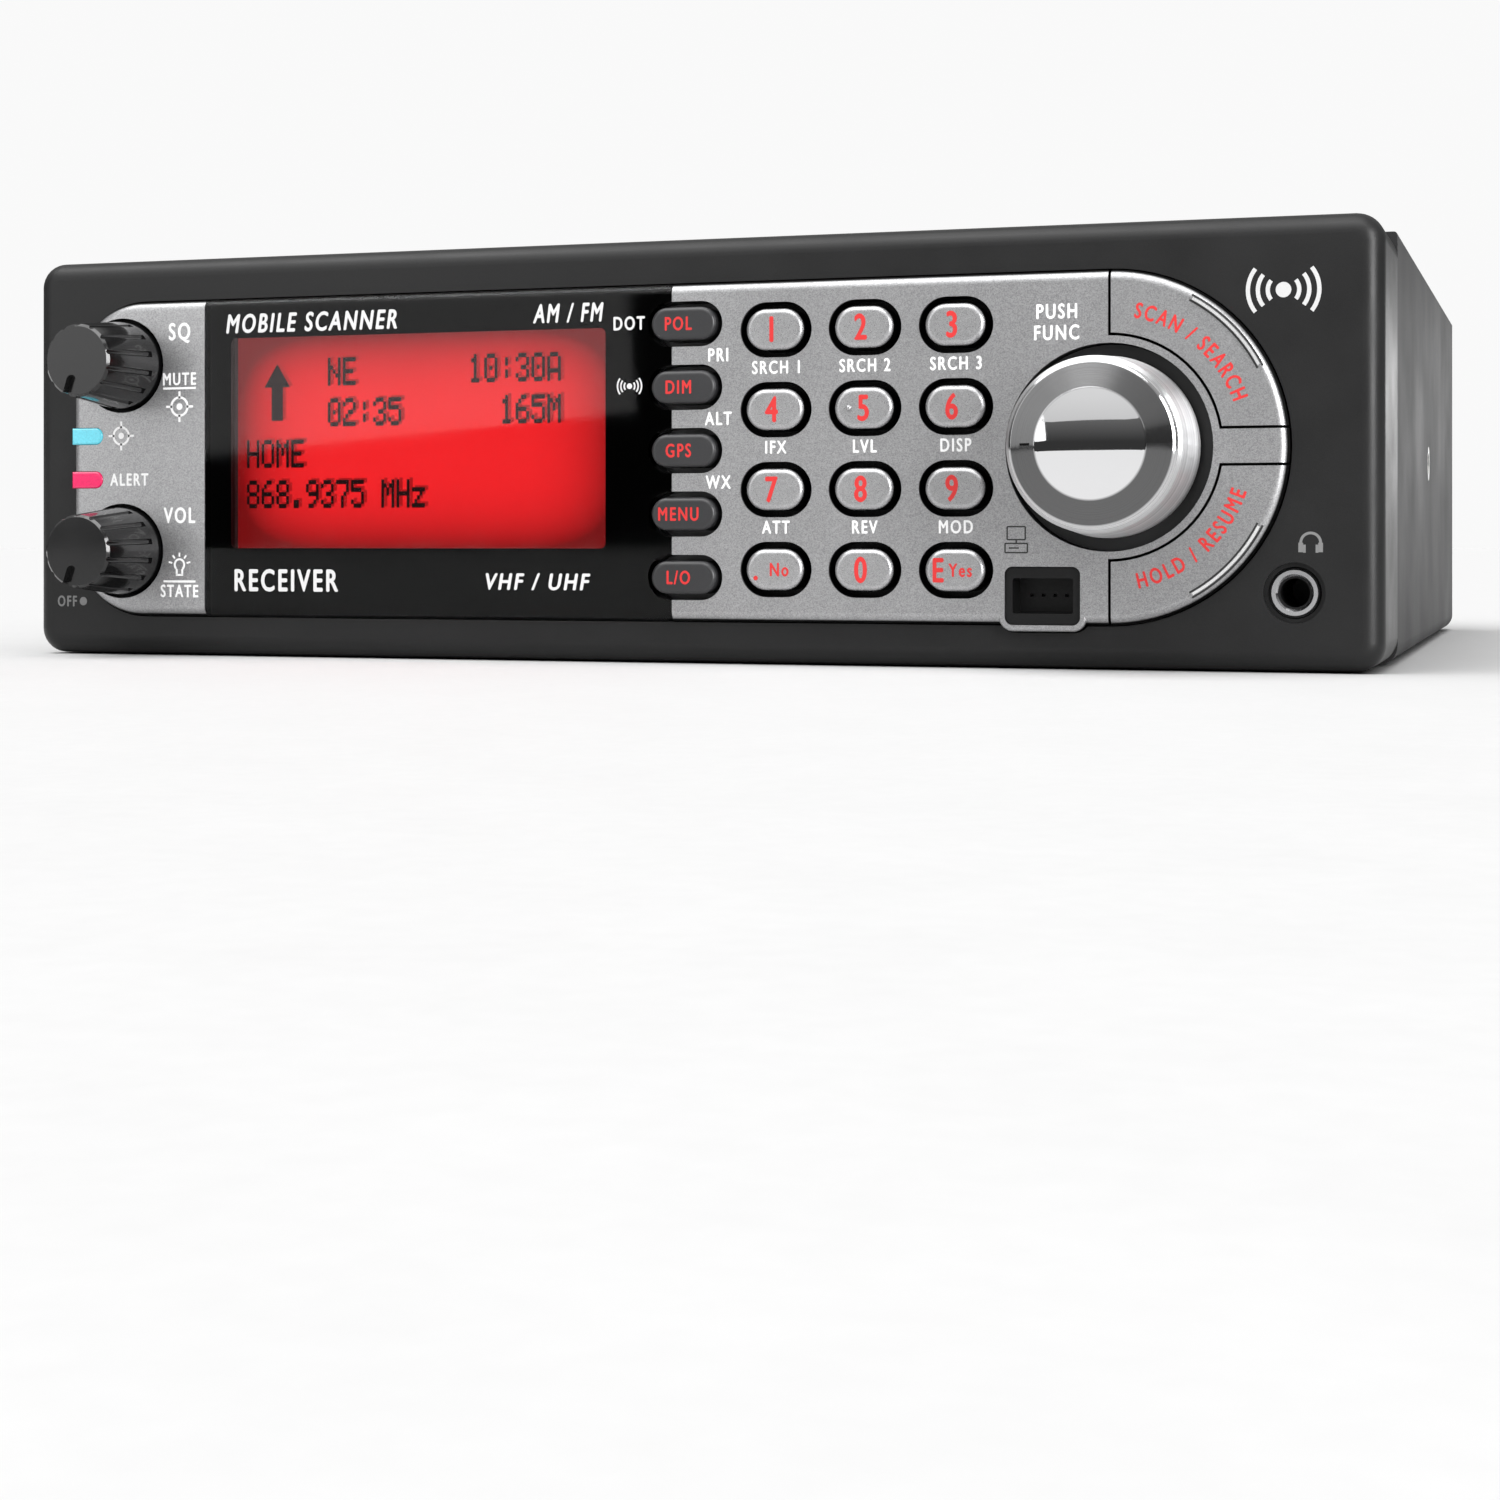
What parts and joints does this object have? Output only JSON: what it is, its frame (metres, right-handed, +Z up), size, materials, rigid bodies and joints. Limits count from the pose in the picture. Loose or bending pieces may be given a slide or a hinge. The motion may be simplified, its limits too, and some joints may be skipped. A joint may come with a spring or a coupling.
{
  "type": "police scanner",
  "caption": "Dashboard scanning radio receiver with a lit display, number pad, tuning dial, two small knobs and arc-shaped buttons on a wide front panel.",
  "frame": {"origin": "centre of the case's bottom face, halfway between the bezel's front face and the rear panel", "axes": "+X to the right as seen from the front, +Y to the rear, +Z up"},
  "size_m": [0.189, 0.1945, 0.0579],
  "materials": {
    "bezel_plastic": "fine satin texture",
    "panel_silver": "metallic silver paint with a fine grain",
    "lens_clear": "polished acrylic",
    "mask_black": "black print",
    "lcd_frame_steel": "pressed",
    "lcd_glass_red": "lit dot matrix glass",
    "guide_plastic": "clear diffusing plastic",
    "surround_black": "satin",
    "control_steel": "plated",
    "membrane_rubber": "matt silicone",
    "board_green": "solder mask",
    "pipe_blue": "lit light pipe",
    "pipe_red": "lit light pipe",
    "jack_black": "moulded",
    "nut_chrome": "polished",
    "case_black": "satin black paint",
    "insert_steel": "zinc plated",
    "screw_black": "blackened",
    "shield_tin": "tinplate",
    "component_black": "moulded",
    "speaker_steel": "pressed",
    "cone_paper": "pressed paper",
    "antenna_nickel": "nickel plated",
    "power_black": "moulded",
    "serial_steel": "tin plated",
    "number_key_silver": "silver painted key",
    "function_key_grey": "dark grey key",
    "small_knob_black": "gloss black",
    "dial_chrome": "satin and polished metal",
    "shaft_aluminium": "turned",
    "actuator_white": "moulded"
  },
  "bodies": {
    "radio": {"front_bezel": "bezel_plastic", "control_panel": "panel_silver", "display_lens": "lens_clear", "lens_mask": "mask_black", "lcd_frame": "lcd_frame_steel", "lcd_glass": "lcd_glass_red", "backlight_guide": "guide_plastic", "encoder_surround": "surround_black", "control_pots": "control_steel", "function_encoder": "control_steel", "keypad_membrane": "membrane_rubber", "front_board": "board_green", "light_pipe_status": "pipe_blue", "light_pipe_alert": "pipe_red", "headphone_jack": "jack_black", "ext_speaker_jack": "jack_black", "jack_nuts": "nut_chrome", "front_data_jack": "jack_black", "chassis_tub": "case_black", "top_cover": "case_black", "rear_panel": "case_black", "bracket_inserts": "insert_steel", "m3_screws": "screw_black", "main_board": "board_green", "tuner_shield": "shield_tin", "board_components": "component_black", "speaker_frame": "speaker_steel", "speaker_cone": "cone_paper", "antenna_jack": "antenna_nickel", "dc_power_jack": "power_black", "serial_port": "serial_steel", "serial_insulator": "jack_black"},
    "key_1": {"key_1": "number_key_silver"},
    "key_2": {"key_2": "number_key_silver"},
    "key_3": {"key_3": "number_key_silver"},
    "key_4": {"key_4": "number_key_silver"},
    "key_5": {"key_5": "number_key_silver"},
    "key_6": {"key_6": "number_key_silver"},
    "key_7": {"key_7": "number_key_silver"},
    "key_8": {"key_8": "number_key_silver"},
    "key_9": {"key_9": "number_key_silver"},
    "key_dot": {"key_dot": "number_key_silver"},
    "key_0": {"key_0": "number_key_silver"},
    "key_enter": {"key_enter": "number_key_silver"},
    "function_key_1": {"function_key_1": "function_key_grey"},
    "function_key_2": {"function_key_2": "function_key_grey"},
    "function_key_3": {"function_key_3": "function_key_grey"},
    "function_key_4": {"function_key_4": "function_key_grey"},
    "function_key_5": {"function_key_5": "function_key_grey"},
    "scan_button": {"scan_button": "panel_silver"},
    "hold_button": {"hold_button": "panel_silver"},
    "squelch_plunger": {"squelch_actuator": "actuator_white"},
    "squelch_control": {"squelch_knob": "small_knob_black", "squelch_shaft": "shaft_aluminium"},
    "volume_plunger": {"volume_actuator": "actuator_white"},
    "volume_control": {"volume_knob": "small_knob_black", "volume_shaft": "shaft_aluminium"},
    "function_plunger": {"function_actuator": "actuator_white"},
    "function_control": {"function_knob": "dial_chrome", "function_shaft": "shaft_aluminium"}
  },
  "joints": [
    {"name": "key_1_press", "type": "slide", "parent": "radio", "child": "key_1", "axis": [0, 1, 0], "range_m": [0, 0.0008], "stiffness_N_per_m": 800, "springref_m": -0.0006},
    {"name": "key_2_press", "type": "slide", "parent": "radio", "child": "key_2", "axis": [0, 1, 0], "range_m": [0, 0.0008], "stiffness_N_per_m": 800, "springref_m": -0.0006},
    {"name": "key_3_press", "type": "slide", "parent": "radio", "child": "key_3", "axis": [0, 1, 0], "range_m": [0, 0.0008], "stiffness_N_per_m": 800, "springref_m": -0.0006},
    {"name": "key_4_press", "type": "slide", "parent": "radio", "child": "key_4", "axis": [0, 1, 0], "range_m": [0, 0.0008], "stiffness_N_per_m": 800, "springref_m": -0.0006},
    {"name": "key_5_press", "type": "slide", "parent": "radio", "child": "key_5", "axis": [0, 1, 0], "range_m": [0, 0.0008], "stiffness_N_per_m": 800, "springref_m": -0.0006},
    {"name": "key_6_press", "type": "slide", "parent": "radio", "child": "key_6", "axis": [0, 1, 0], "range_m": [0, 0.0008], "stiffness_N_per_m": 800, "springref_m": -0.0006},
    {"name": "key_7_press", "type": "slide", "parent": "radio", "child": "key_7", "axis": [0, 1, 0], "range_m": [0, 0.0008], "stiffness_N_per_m": 800, "springref_m": -0.0006},
    {"name": "key_8_press", "type": "slide", "parent": "radio", "child": "key_8", "axis": [0, 1, 0], "range_m": [0, 0.0008], "stiffness_N_per_m": 800, "springref_m": -0.0006},
    {"name": "key_9_press", "type": "slide", "parent": "radio", "child": "key_9", "axis": [0, 1, 0], "range_m": [0, 0.0008], "stiffness_N_per_m": 800, "springref_m": -0.0006},
    {"name": "key_dot_press", "type": "slide", "parent": "radio", "child": "key_dot", "axis": [0, 1, 0], "range_m": [0, 0.0008], "stiffness_N_per_m": 800, "springref_m": -0.0006},
    {"name": "key_0_press", "type": "slide", "parent": "radio", "child": "key_0", "axis": [0, 1, 0], "range_m": [0, 0.0008], "stiffness_N_per_m": 800, "springref_m": -0.0006},
    {"name": "key_enter_press", "type": "slide", "parent": "radio", "child": "key_enter", "axis": [0, 1, 0], "range_m": [0, 0.0008], "stiffness_N_per_m": 800, "springref_m": -0.0006},
    {"name": "function_key_1_press", "type": "slide", "parent": "radio", "child": "function_key_1", "axis": [0, 1, 0], "range_m": [0, 0.0008], "stiffness_N_per_m": 800, "springref_m": -0.0006},
    {"name": "function_key_2_press", "type": "slide", "parent": "radio", "child": "function_key_2", "axis": [0, 1, 0], "range_m": [0, 0.0008], "stiffness_N_per_m": 800, "springref_m": -0.0006},
    {"name": "function_key_3_press", "type": "slide", "parent": "radio", "child": "function_key_3", "axis": [0, 1, 0], "range_m": [0, 0.0008], "stiffness_N_per_m": 800, "springref_m": -0.0006},
    {"name": "function_key_4_press", "type": "slide", "parent": "radio", "child": "function_key_4", "axis": [0, 1, 0], "range_m": [0, 0.0008], "stiffness_N_per_m": 800, "springref_m": -0.0006},
    {"name": "function_key_5_press", "type": "slide", "parent": "radio", "child": "function_key_5", "axis": [0, 1, 0], "range_m": [0, 0.0008], "stiffness_N_per_m": 800, "springref_m": -0.0006},
    {"name": "scan_button_press", "type": "slide", "parent": "radio", "child": "scan_button", "axis": [0, 1, 0], "range_m": [0, 0.0008], "stiffness_N_per_m": 900, "springref_m": -0.0006},
    {"name": "hold_button_press", "type": "slide", "parent": "radio", "child": "hold_button", "axis": [0, 1, 0], "range_m": [0, 0.0008], "stiffness_N_per_m": 900, "springref_m": -0.0006},
    {"name": "squelch_push", "type": "slide", "parent": "radio", "child": "squelch_plunger", "axis": [0, 1, 0], "range_m": [0, 0.0007], "stiffness_N_per_m": 1500, "springref_m": -0.0008},
    {"name": "squelch_turn", "type": "hinge", "parent": "squelch_plunger", "child": "squelch_control", "pos_m": [-0.0794, -0.0835, 0.04085], "axis": [0, 1, 0], "range_deg": [0, 300]},
    {"name": "volume_push", "type": "slide", "parent": "radio", "child": "volume_plunger", "axis": [0, 1, 0], "range_m": [0, 0.0007], "stiffness_N_per_m": 1500, "springref_m": -0.0008},
    {"name": "volume_turn", "type": "hinge", "parent": "volume_plunger", "child": "volume_control", "pos_m": [-0.0794, -0.0835, 0.0146], "axis": [0, 1, 0], "range_deg": [0, 300]},
    {"name": "function_push", "type": "slide", "parent": "radio", "child": "function_plunger", "axis": [0, 1, 0], "range_m": [0, 0.0007], "stiffness_N_per_m": 1500, "springref_m": -0.0008},
    {"name": "function_turn", "type": "hinge", "parent": "function_plunger", "child": "function_control", "pos_m": [0.0612, -0.0835, 0.02765], "axis": [0, 1, 0], "continuous": true}
  ]
}
